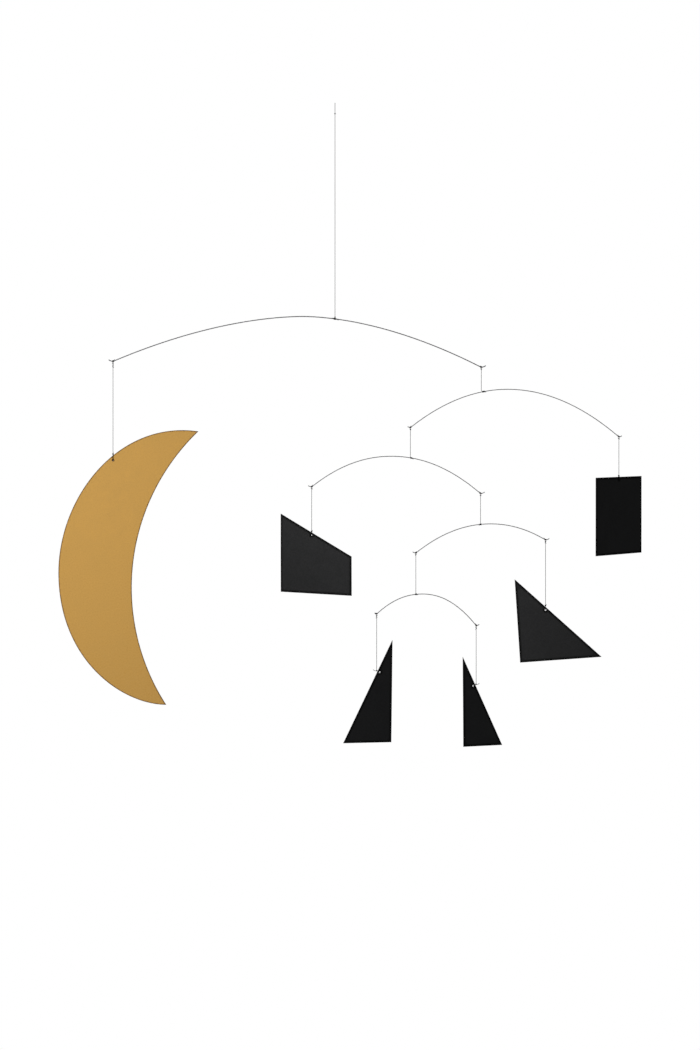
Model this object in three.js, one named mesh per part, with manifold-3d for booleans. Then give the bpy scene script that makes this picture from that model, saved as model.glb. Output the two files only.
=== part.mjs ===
// A hanging mobile: five bent steel wires in tiers carry a crescent moon and five cards on threads.
// Millimetres, +Z up, +X to the right and +Y away from the viewer.
// The origin is where a hook holds the loop at the top.

import * as THREE from "three";
import { mergeVertices } from "three/addons/utils/BufferGeometryUtils.js";
import Module from "manifold-3d";

// Space left between two pieces that touch.
const touchGap = 0.3;

// Thread: one sort all through. A knot is a bulge on it, a small one where the thread turns under or over a
// wire and a larger one off a card's edge. A tie is a ring of thread round the thread's own wire.
const threadDiameter = 0.55;
const turningKnot = { diameter: 1.6, height: 1.3 };
const cardKnot = { diameter: 1.6, height: 1.7 };
const tieThickness = 0.7;
const threadSides = 8;
const knotSteps = 5;
const loopSteps = 15;
const tieSteps = 14;

// The tied loop at the very top, which goes over a hook.
const topLoopLength = 10;
const topLoopWidth = 4;
const topLoopSteps = 20;
const loopWaist = 0.6;
const legClearance = 0.02;

// Wires. Reaches are measured sideways from the arm's own thread, and falls down from its highest point.
// crown is the highest point's place, sideways from the thread. A bend of 2 is a parabola. Past the kink
// where a thread sits, each end runs on as a short tail.
const wireSides = 8;
const wireSteps = 24;
const mainArm = {
  wire: 1.0,
  leftReach: 228.5,
  rightReach: 150.6,
  crown: -33.5,
  leftFall: 46.2,
  rightFall: 52.3,
  bend: 1.79,
  leftTail: 4.9,
  rightTail: 5.0,
};
const secondArm = {
  wire: 0.8,
  leftReach: 73.0,
  rightReach: 141.6,
  crown: 27.0,
  leftFall: 39.4,
  rightFall: 49.0,
  bend: 2.01,
  leftTail: 3.2,
  rightTail: 3.4,
};
const thirdArm = {
  wire: 0.8,
  leftReach: 101.6,
  rightReach: 72.2,
  crown: -19.7,
  leftFall: 31.5,
  rightFall: 38.4,
  bend: 2.07,
  leftTail: 3.9,
  rightTail: 4.7,
};
const fourthArm = {
  wire: 0.8,
  leftReach: 66.6,
  rightReach: 66.9,
  crown: 10.4,
  leftFall: 30.0,
  rightFall: 16.5,
  bend: 2.05,
  leftTail: 3.5,
  rightTail: 4.2,
};
const lowestArm = {
  wire: 0.8,
  leftReach: 40.3,
  rightReach: 62.1,
  crown: 6.7,
  leftFall: 20.6,
  rightFall: 32.5,
  bend: 2.12,
  leftTail: 2.4,
  rightTail: 3.5,
};

// A wire's tail curls up from the kink, so the thread can't slip off.
const tailStartDegrees = 4;
const tailEndDegrees = 38;
const kinkReach = 0.8;
const tailSteps = 5;

// Threads: from the wire above, or the hook, down to the wire or the knot below.
const hangingThreadLength = 221.9;
const secondArmThreadLength = 25.6;
const thirdArmThreadLength = 31.2;
const fourthArmThreadLength = 31.8;
const lowestArmThreadLength = 42.6;
const moonThreadLength = 95.5;
const trapeziumThreadLength = 45.8;
const squareThreadLength = 40.1;
const triangleThreadLength = 67.5;
const leftNarrowThreadLength = 58.4;
const rightNarrowThreadLength = 60.5;

// Cards. A turn is about the thread, and positive takes the right side away from the viewer.
// A tilt is in the card's own plane, and positive lifts its right side. A card hangs from over its middle of
// weight, or from a little to the right of there.
const cardThickness = 0.75;
const cardHoleDiameter = 1.6;
const snugHoleDiameter = 1.2;
const cardHoleInset = 2.4;
const holeSides = 12;
const steepDegrees = 50;
const trapezium = { width: 92, leftHeight: 81.1, rightHeight: 40.0, turn: -37.2, tilt: 0 };
const square = { width: 83, height: 79.8, turn: 49.8, tilt: 0 };
const triangle = { width: 84.3, height: 85.9, turn: 2, tilt: 3.8 };
const leftNarrow = { width: 51.0, height: 105.4, turn: 14, tilt: -0.66 };
const leftNarrowAside = 1.0;
const rightNarrow = { width: 42.2, height: 92.5, turn: 16, tilt: 0.45 };

// The moon, measured from the outermost point of its back.
const moonThickness = 0.6;
const moonHoleInset = 3.9;
const moon = {
  upperHorn: { out: 144.1, up: 145.5 },
  lowerHorn: { out: 110.9, down: 136.0 },
  backUp: 77.8,
  backDown: 90.9,
  shoulder: { out: 61.6, up: 157.7 },
  hip: { out: 66.4, down: 136.2 },
  innerRadius: 222.9,
  turn: 0,
};
const curveSteps = 22;

const steel = { color: 0x55565a, roughness: 0.42, metalness: 0.9 };
const thread = { color: 0x3a3a3c, roughness: 0.9, metalness: 0 };
const goldCard = { color: 0xc1954f, roughness: 0.5, metalness: 0.55 };
const blackCard = { color: 0x1c1c1d, roughness: 0.75, metalness: 0 };

const wasm = await Module();
wasm.setup();

const degrees = Math.PI / 180;
const threadRadius = threadDiameter / 2;

// A closed geometry as a solid that can be joined to others.
function solidOf(geometry) {
  const bare = geometry.index ? geometry.toNonIndexed() : geometry.clone();
  bare.deleteAttribute("normal");
  bare.deleteAttribute("uv");
  const merged = mergeVertices(bare, 1e-4);
  const vertProperties = merged.attributes.position.array;
  const triVerts = new Uint32Array(merged.index.array);
  return new wasm.Manifold(new wasm.Mesh({ numProp: 3, vertProperties, triVerts }));
}

function geometryOf(solid) {
  const mesh = solid.getMesh();
  const geometry = new THREE.BufferGeometry();
  geometry.setAttribute("position", new THREE.BufferAttribute(mesh.vertProperties, 3));
  geometry.setIndex(new THREE.BufferAttribute(mesh.triVerts, 1));
  geometry.computeVertexNormals();
  return geometry;
}

function named(name, geometry, look) {
  const mesh = new THREE.Mesh(geometry, new THREE.MeshStandardMaterial(look));
  mesh.name = name;
  return mesh;
}

// A centre line through points, taken at even steps from point to point, so close points give short steps.
class PointLine extends THREE.Curve {
  constructor(points) {
    super();
    this.points = points;
  }

  getPoint(t, target = new THREE.Vector3()) {
    const at = t * (this.points.length - 1);
    const first = Math.min(Math.floor(at), this.points.length - 2);
    return target.copy(this.points[first]).lerp(this.points[first + 1], at - first);
  }

  getUtoTmapping(u) {
    return u;
  }
}

// A round tube along points, closed flat at both ends.
function tube(points, diameter, sides) {
  const section = new THREE.Shape();
  for (let i = 0; i < sides; i++) {
    const angle = (2 * Math.PI * (i + 0.5)) / sides;
    const x = (diameter / 2) * Math.cos(angle);
    const y = (diameter / 2) * Math.sin(angle);
    if (i === 0) section.moveTo(x, y);
    else section.lineTo(x, y);
  }
  section.closePath();
  return new THREE.ExtrudeGeometry(section, {
    steps: points.length - 1,
    extrudePath: new PointLine(points),
    bevelEnabled: false,
  });
}

// How far an arm's wire lies below its crown at a place sideways from its thread.
function fallOf(arm, x) {
  const side = x - arm.crown;
  const reach = side < 0 ? arm.leftReach + arm.crown : arm.rightReach - arm.crown;
  const fall = side < 0 ? arm.leftFall : arm.rightFall;
  return fall * (Math.abs(side) / reach) ** arm.bend;
}

// The wire's height there, from its centre where its own thread holds it.
function heightOf(arm, x) {
  return fallOf(arm, 0) - fallOf(arm, x);
}

// From the wire into the kink and out along the curled tail. out is -1 at the left end and 1 at the right.
function endPoints(arm, out) {
  const x = out < 0 ? -arm.leftReach : arm.rightReach;
  const seat = new THREE.Vector3(x, 0, heightOf(arm, x));
  const before = x - out * kinkReach;
  const start = new THREE.Vector3(before, 0, heightOf(arm, before));
  const first = tailStartDegrees * degrees;
  const turn = (tailEndDegrees - tailStartDegrees) * degrees;
  const step = (out < 0 ? arm.leftTail : arm.rightTail) / tailSteps;
  const tail = seat.clone();
  const tailPoints = [];
  for (let i = 0; i < tailSteps; i++) {
    const angle = first + (turn * (i + 0.5)) / tailSteps;
    tail.add(new THREE.Vector3(out * step * Math.cos(angle), 0, step * Math.sin(angle)));
    tailPoints.push(tail.clone());
  }
  const kink = new THREE.QuadraticBezierCurve3(start, seat, tailPoints[0]);
  return [start, kink.getPoint(1 / 3), kink.getPoint(2 / 3), ...tailPoints];
}

// The lowest place of the kink, where the thread below sits.
function seatOf(arm, out) {
  const low = Math.min(...endPoints(arm, out).map((p) => p.z));
  return new THREE.Vector3(out < 0 ? -arm.leftReach : arm.rightReach, 0, low);
}

function armGeometry(arm) {
  const left = endPoints(arm, -1).reverse();
  const right = endPoints(arm, 1);
  const from = left[left.length - 1].x;
  const to = right[0].x;
  const middle = [];
  for (let i = 1; i < wireSteps; i++) {
    const x = from + ((to - from) * i) / wireSteps;
    middle.push(new THREE.Vector3(x, 0, heightOf(arm, x)));
  }
  return tube([...left, ...middle, ...right], arm.wire, wireSides);
}

// A knot's outline, from its foot up, as places beside the thread.
function knotPoints(knot, foot) {
  const points = [];
  for (let i = 0; i <= knotSteps; i++) {
    const angle = (Math.PI * i) / knotSteps;
    const across = threadRadius + (knot.diameter / 2 - threadRadius) * Math.sin(angle);
    points.push(new THREE.Vector2(across, foot + (knot.height * (1 - Math.cos(angle))) / 2));
  }
  return points;
}

// A straight thread from low to high with a knot at the top, and one at the foot if a knot is given for it.
function knottedRun(low, high, footKnot) {
  const profile = [
    new THREE.Vector2(0, low),
    ...(footKnot ? knotPoints(footKnot, low) : [new THREE.Vector2(threadRadius, low)]),
    ...knotPoints(turningKnot, high - turningKnot.height),
    new THREE.Vector2(0, high),
  ];
  return new THREE.LatheGeometry(profile, threadSides).rotateX(Math.PI / 2);
}

// The top thread: a loop that a hook crosses from left to right, and a knot right over the main wire. The
// loop's two legs come out of its knot side by side.
function hangingThreadGeometry() {
  const low = -hangingThreadLength + mainArm.wire / 2 + touchGap;
  const knotTop = -topLoopLength;
  const half = topLoopWidth / 2;
  const foot = knotTop - turningKnot.height / 2;
  const shoulder = threadRadius - half;
  const waist = (foot + shoulder) / 2;
  const leg = threadRadius + legClearance;
  const at = (y, z) => new THREE.Vector3(0, y, z);
  const line = new THREE.CatmullRomCurve3([
    at(-leg, foot),
    at(-half * loopWaist, waist),
    at(-half, shoulder),
    at(0, threadRadius),
    at(half, shoulder),
    at(half * loopWaist, waist),
    at(leg, foot),
  ]);
  const bow = tube(line.getPoints(topLoopSteps), threadDiameter, threadSides);
  return geometryOf(solidOf(knottedRun(low, knotTop, turningKnot)).add(solidOf(bow)));
}

// A thread that carries a wire: a free knot under the wire above, and a tie round its own wire.
function armThreadGeometry(above, arm, length) {
  const tieRadius = (arm.wire + tieThickness) / 2 + touchGap;
  const run = knottedRun(tieRadius, length - above.wire / 2 - touchGap);
  const tie = new THREE.TorusGeometry(tieRadius, tieThickness / 2, threadSides, tieSteps);
  return geometryOf(solidOf(run).add(solidOf(tie.rotateY(Math.PI / 2))));
}

// Where an outline's upper edge lies over its middle of weight, or aside from there, and how it slopes.
function hangPointOf(outline, aside) {
  const points = outline.getPoints(curveSteps);
  let area = 0;
  let moment = 0;
  points.forEach((a, i) => {
    const b = points[(i + 1) % points.length];
    const cross = a.x * b.y - b.x * a.y;
    area += cross / 2;
    moment += ((a.x + b.x) * cross) / 6;
  });
  const x = moment / area + aside;
  let found = null;
  points.forEach((a, i) => {
    const b = points[(i + 1) % points.length];
    if ((a.x - x) * (b.x - x) > 0 || a.x === b.x) return;
    const slope = (b.y - a.y) / (b.x - a.x);
    const y = a.y + slope * (x - a.x);
    if (!found || y > found.y) found = { x, y, slope };
  });
  return found;
}

// The knot stands just off the edge. The hole is straight below it, or on a steep edge square to the edge.
function holdOf(outline, inset, aside) {
  const edge = hangPointOf(outline, aside);
  const lean = Math.atan(edge.slope);
  const standOff = cardKnot.diameter / 2 + touchGap;
  const knot = new THREE.Vector2(edge.x, edge.y + standOff / Math.cos(lean));
  const across = standOff + inset;
  const steep = Math.abs(lean) > steepDegrees * degrees;
  const hole = steep
    ? new THREE.Vector2(across * Math.sin(lean), -across * Math.cos(lean))
    : new THREE.Vector2(0, -across / Math.cos(lean));
  return { knot, hole };
}

// A flat sheet of an outline, with the knot at the origin.
function sheetGeometry(outline, hold, thickness, holeDiameter) {
  const shape = new THREE.Shape(outline.getPoints(curveSteps));
  const centre = hold.knot.clone().add(hold.hole);
  shape.holes.push(new THREE.Path().absarc(centre.x, centre.y, holeDiameter / 2, 0, 2 * Math.PI, true));
  const sheet = new THREE.ExtrudeGeometry(shape, {
    depth: thickness,
    bevelEnabled: false,
    curveSegments: holeSides,
  });
  return sheet.translate(-hold.knot.x, -hold.knot.y, -thickness / 2).rotateX(Math.PI / 2);
}

// A thread that carries a card: a free knot under the wire above, a knot off the card's edge, and a loop
// from there through the hole. Each place on the loop is a share of the way to the hole, and of the room
// that the loop takes on each side of the card.
function cardThreadGeometry(above, hold, thickness, length) {
  const run = knottedRun(-cardKnot.height / 2, length - above.wire / 2 - touchGap, cardKnot);
  const room = thickness / 2 + touchGap + threadRadius;
  const at = (way, side) => new THREE.Vector3(hold.hole.x * way, side * room, hold.hole.y * way);
  const line = new THREE.CatmullRomCurve3([
    at(0, 0),
    at(0.3, -1),
    at(0.75, -1),
    at(1, 0),
    at(0.75, 1),
    at(0.3, 1),
    at(0, 0),
  ]);
  const loop = tube(line.getPoints(loopSteps), threadDiameter, threadSides);
  return geometryOf(solidOf(run).add(solidOf(loop)));
}

function outlineOf(corners, tilt) {
  const pin = new THREE.Vector2();
  return new THREE.Shape(corners.map(([x, y]) => new THREE.Vector2(x, y).rotateAround(pin, tilt * degrees)));
}

function moonOutline() {
  const { upperHorn, lowerHorn, backUp, backDown, shoulder, hip, innerRadius } = moon;
  const top = new THREE.Vector2(upperHorn.out, upperHorn.up);
  const bottom = new THREE.Vector2(lowerHorn.out, -lowerHorn.down);
  const chord = top.clone().sub(bottom);
  const away = Math.sqrt(innerRadius ** 2 - chord.lengthSq() / 4);
  const centre = top.clone().add(bottom).multiplyScalar(0.5);
  centre.add(new THREE.Vector2(chord.y, -chord.x).setLength(away));
  const from = top.clone().sub(centre).angle();
  const to = bottom.clone().sub(centre).angle();
  const outline = new THREE.Shape();
  outline.moveTo(top.x, top.y);
  outline.bezierCurveTo(shoulder.out, shoulder.up, 0, backUp, 0, 0);
  outline.bezierCurveTo(0, -backDown, hip.out, -hip.down, bottom.x, bottom.y);
  outline.absarc(centre.x, centre.y, innerRadius, to, from, true);
  return outline;
}

function trapeziumOutline() {
  const { width, leftHeight, rightHeight, tilt } = trapezium;
  return outlineOf([[0, 0], [width, 0], [width, rightHeight], [0, leftHeight]], tilt);
}

function squareOutline() {
  const { width, height, tilt } = square;
  return outlineOf([[0, 0], [width, 0], [width, height], [0, height]], tilt);
}

// A right triangle, its upright side on the left or on the right.
function triangleOutline(card, uprightOnLeft) {
  const { width, height, tilt } = card;
  return outlineOf([[0, 0], [width, 0], [uprightOnLeft ? 0 : width, height]], tilt);
}

// Hangs an arm from the wire above, or from the hook, and returns the arm's own group.
function hangArm(parent, at, above, arm, length, name) {
  const group = new THREE.Group();
  group.position.set(at.x, at.y, at.z - length);
  group.add(named(name, armGeometry(arm), steel));
  if (above) group.add(named(name + "_thread", armThreadGeometry(above, arm, length), thread));
  parent.add(group);
  return group;
}

// Hangs a card or the moon from a wire's end by a thread of its own.
function hangSheet(parent, arm, side, sheet) {
  const seat = seatOf(arm, side);
  const hold = holdOf(sheet.outline, sheet.inset, sheet.aside);
  const line = cardThreadGeometry(arm, hold, sheet.thickness, sheet.length);
  const group = new THREE.Group();
  group.position.set(seat.x, seat.y, seat.z - sheet.length);
  group.rotation.z = sheet.turn * degrees;
  const body = sheetGeometry(sheet.outline, hold, sheet.thickness, sheet.holeDiameter);
  group.add(named(sheet.name, body, sheet.look));
  group.add(named(sheet.threadName, line, thread));
  parent.add(group);
}

function card(name, outline, turn, length, special) {
  return {
    name: name + "_card",
    threadName: name + "_thread",
    outline,
    turn,
    length,
    inset: cardHoleInset,
    aside: 0,
    holeDiameter: cardHoleDiameter,
    thickness: cardThickness,
    look: blackCard,
    ...special,
  };
}

const moonSheet = {
  name: "moon",
  threadName: "moon_thread",
  outline: moonOutline(),
  turn: moon.turn,
  length: moonThreadLength,
  inset: moonHoleInset,
  aside: 0,
  holeDiameter: snugHoleDiameter,
  thickness: moonThickness,
  look: goldCard,
};
const snug = { holeDiameter: snugHoleDiameter };
const aside = { aside: leftNarrowAside };
const squareSheet = card("square", squareOutline(), square.turn, squareThreadLength, snug);
const trapeziumSheet = card("trapezium", trapeziumOutline(), trapezium.turn, trapeziumThreadLength);
const broadShape = triangleOutline(triangle, true);
const leftShape = triangleOutline(leftNarrow, false);
const rightShape = triangleOutline(rightNarrow, true);
const triangleSheet = card("triangle", broadShape, triangle.turn, triangleThreadLength);
const leftSheet = card("left_narrow", leftShape, leftNarrow.turn, leftNarrowThreadLength, aside);
const rightSheet = card("right_narrow", rightShape, rightNarrow.turn, rightNarrowThreadLength);

const left = -1;
const right = 1;

const mobile = new THREE.Group();
mobile.add(named("hanging_thread", hangingThreadGeometry(), thread));

const main = hangArm(mobile, new THREE.Vector3(), null, mainArm, hangingThreadLength, "main_arm");
hangSheet(main, mainArm, left, moonSheet);

const mainSeat = seatOf(mainArm, right);
const second = hangArm(main, mainSeat, mainArm, secondArm, secondArmThreadLength, "second_arm");
hangSheet(second, secondArm, right, squareSheet);

const secondSeat = seatOf(secondArm, left);
const third = hangArm(second, secondSeat, secondArm, thirdArm, thirdArmThreadLength, "third_arm");
hangSheet(third, thirdArm, left, trapeziumSheet);

const thirdSeat = seatOf(thirdArm, right);
const fourth = hangArm(third, thirdSeat, thirdArm, fourthArm, fourthArmThreadLength, "fourth_arm");
hangSheet(fourth, fourthArm, right, triangleSheet);

const fourthSeat = seatOf(fourthArm, left);
const lowest = hangArm(fourth, fourthSeat, fourthArm, lowestArm, lowestArmThreadLength, "lowest_arm");
hangSheet(lowest, lowestArm, left, leftSheet);
hangSheet(lowest, lowestArm, right, rightSheet);

export default mobile;
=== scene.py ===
import math

import bpy
import numpy as np
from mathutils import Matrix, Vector
from mathutils.geometry import delaunay_2d_cdt


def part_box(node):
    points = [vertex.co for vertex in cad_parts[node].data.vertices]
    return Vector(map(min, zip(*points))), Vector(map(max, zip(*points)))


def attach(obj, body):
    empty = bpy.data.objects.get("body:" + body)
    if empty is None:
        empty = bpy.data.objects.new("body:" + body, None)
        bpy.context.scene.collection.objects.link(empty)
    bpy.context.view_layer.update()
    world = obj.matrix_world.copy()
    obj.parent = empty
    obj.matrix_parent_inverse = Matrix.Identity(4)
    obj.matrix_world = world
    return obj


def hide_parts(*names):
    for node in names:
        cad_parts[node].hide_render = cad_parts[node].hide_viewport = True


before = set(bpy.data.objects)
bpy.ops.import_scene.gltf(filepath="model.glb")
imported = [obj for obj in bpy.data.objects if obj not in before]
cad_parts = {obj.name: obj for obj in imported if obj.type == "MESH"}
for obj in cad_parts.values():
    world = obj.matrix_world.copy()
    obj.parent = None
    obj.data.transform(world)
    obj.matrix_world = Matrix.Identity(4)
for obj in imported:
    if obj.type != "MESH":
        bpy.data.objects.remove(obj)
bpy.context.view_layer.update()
mm = 0.001

# The camera stands level with the horizon of the picture, which lies above the picture's middle.
cameraSet = {
    "lens": 85.0,  # millimetres, on a sensor whose long side is 36 mm
    "sensor": 36.0,
    "pixel": 1.0293 * mm,  # at the object's own plane
    "pictureHeight": 1050,
    "pictureWidth": 700,
    "hookPixel": (335.0, 103.3),  # where the origin shows
    "horizonPixel": 405.0,
}


def makeCamera(c):
    data = bpy.data.cameras.new("camera")
    data.sensor_width = c["sensor"]
    data.lens = c["lens"]
    data.shift_y = -(c["pictureHeight"] / 2 - c["horizonPixel"]) / c["pictureHeight"]
    distance = c["lens"] / c["sensor"] * c["pixel"] * c["pictureHeight"]
    camera = bpy.data.objects.new("camera", data)
    camera.location = (
        (c["pictureWidth"] / 2 - c["hookPixel"][0]) * c["pixel"],
        -distance,
        (c["hookPixel"][1] - c["horizonPixel"]) * c["pixel"],
    )
    camera.rotation_euler = (math.pi / 2, 0, 0)
    bpy.context.scene.collection.objects.link(camera)
    bpy.context.scene.camera = camera
    print("camera", round(distance, 3), "m from the object")


makeCamera(cameraSet)


# Unit vectors along rows of vectors.
def unit(v):
    return v / np.linalg.norm(v, axis=-1, keepdims=True)


# How far along a path each of its points lies, summing the steps.
def distanceAlong(path):
    return np.concatenate([[0], np.cumsum(np.linalg.norm(np.diff(path[:, :3], axis=0), axis=1))])


# The same path with rows at even steps, each found by its distance from the start. Columns after the
# third go along.
def evenPath(path, step):
    along = distanceAlong(path)
    at = np.linspace(0, along[-1], max(3, int(round(along[-1] / step)) + 1))
    return np.stack([np.interp(at, along, column) for column in path.T], axis=1)


# A smooth line through points: between two of them each place is a mix of the four nearest points,
# with weights that are cubics of the way from one to the next.
def smoothPath(points, perSpan=12):
    p = np.asarray(points, float)
    p = np.vstack([2 * p[0] - p[1], p, 2 * p[-1] - p[-2]])
    t = np.linspace(0, 1, perSpan, endpoint=False)[None, :, None]
    a, b, c, d = p[:-3, None], p[1:-2, None], p[2:-1, None], p[3:, None]
    mixed = b + 0.5 * t * (c - a + t * (2 * a - 5 * b + 4 * c - d + t * (3 * (b - c) + d - a)))
    return np.vstack([mixed.reshape(-1, p.shape[1]), p[-2]])


# A ring of section points carried along a path. Each ring stands square to the path: its first
# direction is the reference vector crossed with the path's direction, and the section turns once in
# each pitch along the way.
def sweep(path, section, reference, pitch=None, size=None):
    ways = unit(np.gradient(path, axis=0))
    side = unit(np.cross(np.broadcast_to(reference, path.shape), ways))
    up = np.cross(ways, side)
    along = distanceAlong(path)
    angle = np.zeros(len(path)) if pitch is None else 2 * math.pi * along / pitch
    grow = np.ones(len(path)) if size is None else size
    x = (section[:, 0] * np.cos(angle)[:, None] - section[:, 1] * np.sin(angle)[:, None]) * grow[:, None]
    y = (section[:, 0] * np.sin(angle)[:, None] + section[:, 1] * np.cos(angle)[:, None]) * grow[:, None]
    vertices = path[:, None] + x[..., None] * side[:, None] + y[..., None] * up[:, None]
    rings, sides = x.shape
    k, j = np.meshgrid(np.arange(rings - 1), np.arange(sides), indexing="ij")
    k, j = k.ravel(), j.ravel()
    following = (j + 1) % sides
    here, ahead = k * sides, (k + 1) * sides
    quads = np.stack([here + j, here + following, ahead + following, ahead + j], 1)
    around = np.stack([j, j + 1, j + 1, j], 1) / sides
    lengthwise = np.stack([along[k], along[k], along[k + 1], along[k + 1]], 1) / mm
    uv = np.stack([around, lengthwise], -1).reshape(-1, 2)
    first = np.arange(sides)[::-1][None]
    last = (rings - 1) * sides + np.arange(sides)[None]
    capUv = np.zeros((sides, 2))
    return {
        "vertices": vertices.reshape(-1, 3),
        "faces": [quads, first, last],
        "uv": np.vstack([uv, capUv, capUv + [0, along[-1] / mm]]),
    }


# Several closed shells as one mesh, each one's faces counted on from the vertices before it.
def together(shells):
    starts = np.cumsum([0] + [len(s["vertices"]) for s in shells[:-1]])
    return {
        "vertices": np.vstack([s["vertices"] for s in shells]),
        "faces": [f + start for s, start in zip(shells, starts) for f in s["faces"]],
        "uv": np.vstack([s["uv"] for s in shells]),
        "look": np.concatenate([np.full(sum(map(len, s["faces"])), s.get("look", 0)) for s in shells]),
    }


def makeMesh(name, shell, looks):
    mesh = bpy.data.meshes.new(name)
    sizes = np.concatenate([np.full(len(f), f.shape[1]) for f in shell["faces"]])
    corners = np.concatenate([f.ravel() for f in shell["faces"]])
    mesh.vertices.add(len(shell["vertices"]))
    mesh.vertices.foreach_set("co", shell["vertices"].astype(np.float32).ravel())
    mesh.loops.add(len(corners))
    mesh.loops.foreach_set("vertex_index", corners.astype(np.int32))
    mesh.polygons.add(len(sizes))
    mesh.polygons.foreach_set("loop_start", (np.cumsum(sizes) - sizes).astype(np.int32))
    mesh.polygons.foreach_set("use_smooth", np.ones(len(sizes), bool))
    mesh.uv_layers.new(name="UVMap").data.foreach_set("uv", shell["uv"].astype(np.float32).ravel())
    for look in looks:
        mesh.materials.append(look)
    if "look" in shell:
        mesh.polygons.foreach_set("material_index", shell["look"].astype(np.int32))
    mesh.update(calc_edges=True)
    mesh.validate()
    mesh.set_sharp_from_angle(angle=math.radians(50))
    thing = bpy.data.objects.new(name, mesh)
    bpy.context.scene.collection.objects.link(thing)
    return thing


def makePiece(name, shell, looks, body, replaced=()):
    piece = makeMesh(name, shell, looks)
    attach(piece, body)
    if replaced:
        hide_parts(*replaced)
    return piece


# A round section.
def roundSection(radius, sides):
    angle = 2 * math.pi * np.arange(sides) / sides
    return radius * np.stack([np.cos(angle), np.sin(angle)], 1)


# The outline of strands that lie side by side round a middle: from each strand's own middle it is an
# arc, which at an angle a from there is out * cos(a) + root(radius^2 - out^2 * sin(a)^2) from the
# thread's middle.
def pliedSection(radius, plies, perPly):
    strand = radius / (1 + 1 / math.sin(math.pi / plies)) * 1.12
    out = radius - strand
    angle = 2 * math.pi * np.arange(plies * perPly) / (plies * perPly)
    off = (angle + math.pi / plies) % (2 * math.pi / plies) - math.pi / plies
    reach = out * np.cos(off) + np.sqrt(np.maximum(strand**2 - (out * np.sin(off)) ** 2, 0))
    return reach[:, None] * np.stack([np.cos(angle), np.sin(angle)], 1)


# Shader nodes.
def addNode(tree, kind, place, **values):
    made = tree.nodes.new("ShaderNode" + kind)
    made.location = (place[0] * 200, place[1] * 200)
    for key, value in values.items():
        setattr(made, key, value)
    return made


def setInputs(made, values):
    for key, value in values.items():
        made.inputs[key].default_value = value
    return made


# A group with named sockets: inputs are (name, kind, value), outputs are (name, kind).
def newGroup(name, inputs, outputs):
    tree = bpy.data.node_groups.new(name, "ShaderNodeTree")
    for label, kind, value in inputs:
        socket = tree.interface.new_socket(label, in_out="INPUT", socket_type="NodeSocket" + kind)
        if value is not None:
            socket.default_value = value
    for label, kind in outputs:
        tree.interface.new_socket(label, in_out="OUTPUT", socket_type="NodeSocket" + kind)
    start = tree.nodes.new("NodeGroupInput")
    end = tree.nodes.new("NodeGroupOutput")
    start.location = (-800, 0)
    end.location = (800, 0)
    return tree, start, end


def useGroup(tree, group, place, values):
    made = addNode(tree, "Group", place, node_tree=group)
    return setInputs(made, values)


def newLook(name):
    look = bpy.data.materials.new(name)
    look.use_nodes = True
    tree = look.node_tree
    shader = tree.nodes["Principled BSDF"]
    shader.location = (400, 0)
    return look, tree, shader


def noiseOn(tree, vector, place, scale, detail=2.0, roughness=0.5):
    made = addNode(tree, "TexNoise", place)
    setInputs(made, {"Scale": scale, "Detail": detail, "Roughness": roughness})
    tree.links.new(vector, made.inputs["Vector"])
    return made.outputs[0]


# A value carried from one range to another.
def spread(tree, value, place, low, high, toLow=0.0, toHigh=1.0):
    made = addNode(tree, "MapRange", place)
    setInputs(made, {"From Min": low, "From Max": high, "To Min": toLow, "To Max": toHigh})
    tree.links.new(value, made.inputs["Value"])
    return made.outputs["Result"]


def combine(tree, how, first, second, place):
    made = addNode(tree, "Math", place, operation=how)
    for socket, value in zip(made.inputs, (first, second)):
        if isinstance(value, (int, float)):
            socket.default_value = value
        else:
            tree.links.new(value, socket)
    return made.outputs[0]


def mixTones(tree, share, first, second, place):
    made = addNode(tree, "Mix", place, data_type="RGBA")
    tree.links.new(share, made.inputs["Factor"])
    for socket, value in ((made.inputs[6], first), (made.inputs[7], second)):
        if isinstance(value, tuple):
            socket.default_value = (*value, 1.0)
        else:
            tree.links.new(value, socket)
    return made.outputs[2]


def bumpFrom(tree, height, shader, strength, distance, place):
    made = addNode(tree, "Bump", place)
    setInputs(made, {"Strength": strength, "Distance": distance})
    tree.links.new(height, made.inputs["Height"])
    tree.links.new(made.outputs["Normal"], shader.inputs["Normal"])


# Pressed fibres: soft clouds under a fine grain, and a height that leans on the grain.
def makeFibreGroup():
    tree, start, end = newGroup(
        "pressedFibre",
        [("Vector", "Vector", None), ("Grain", "Float", 2400.0), ("Cloud", "Float", 70.0)],
        [("Tone", "Float"), ("Height", "Float")],
    )
    vector = start.outputs["Vector"]
    fine = addNode(tree, "TexNoise", (-2, 1))
    setInputs(fine, {"Detail": 4.0, "Roughness": 0.62})
    tree.links.new(vector, fine.inputs["Vector"])
    tree.links.new(start.outputs["Grain"], fine.inputs["Scale"])
    cloud = addNode(tree, "TexNoise", (-2, -1))
    setInputs(cloud, {"Detail": 3.0, "Roughness": 0.5, "Distortion": 0.6})
    tree.links.new(vector, cloud.inputs["Vector"])
    tree.links.new(start.outputs["Cloud"], cloud.inputs["Scale"])
    grain = spread(tree, fine.outputs[0], (-1, 1), 0.28, 0.72)
    soft = spread(tree, cloud.outputs[0], (-1, -1), 0.3, 0.7)
    both = combine(tree, "ADD", combine(tree, "MULTIPLY", grain, 0.75, (0, 1)),
                   combine(tree, "MULTIPLY", soft, 0.25, (0, -1)), (1, 0))
    tree.links.new(both, end.inputs["Tone"])
    tree.links.new(combine(tree, "ADD", grain, combine(tree, "MULTIPLY", soft, 0.25, (1, -1)), (2, -1)),
                   end.inputs["Height"])
    return tree


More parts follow.
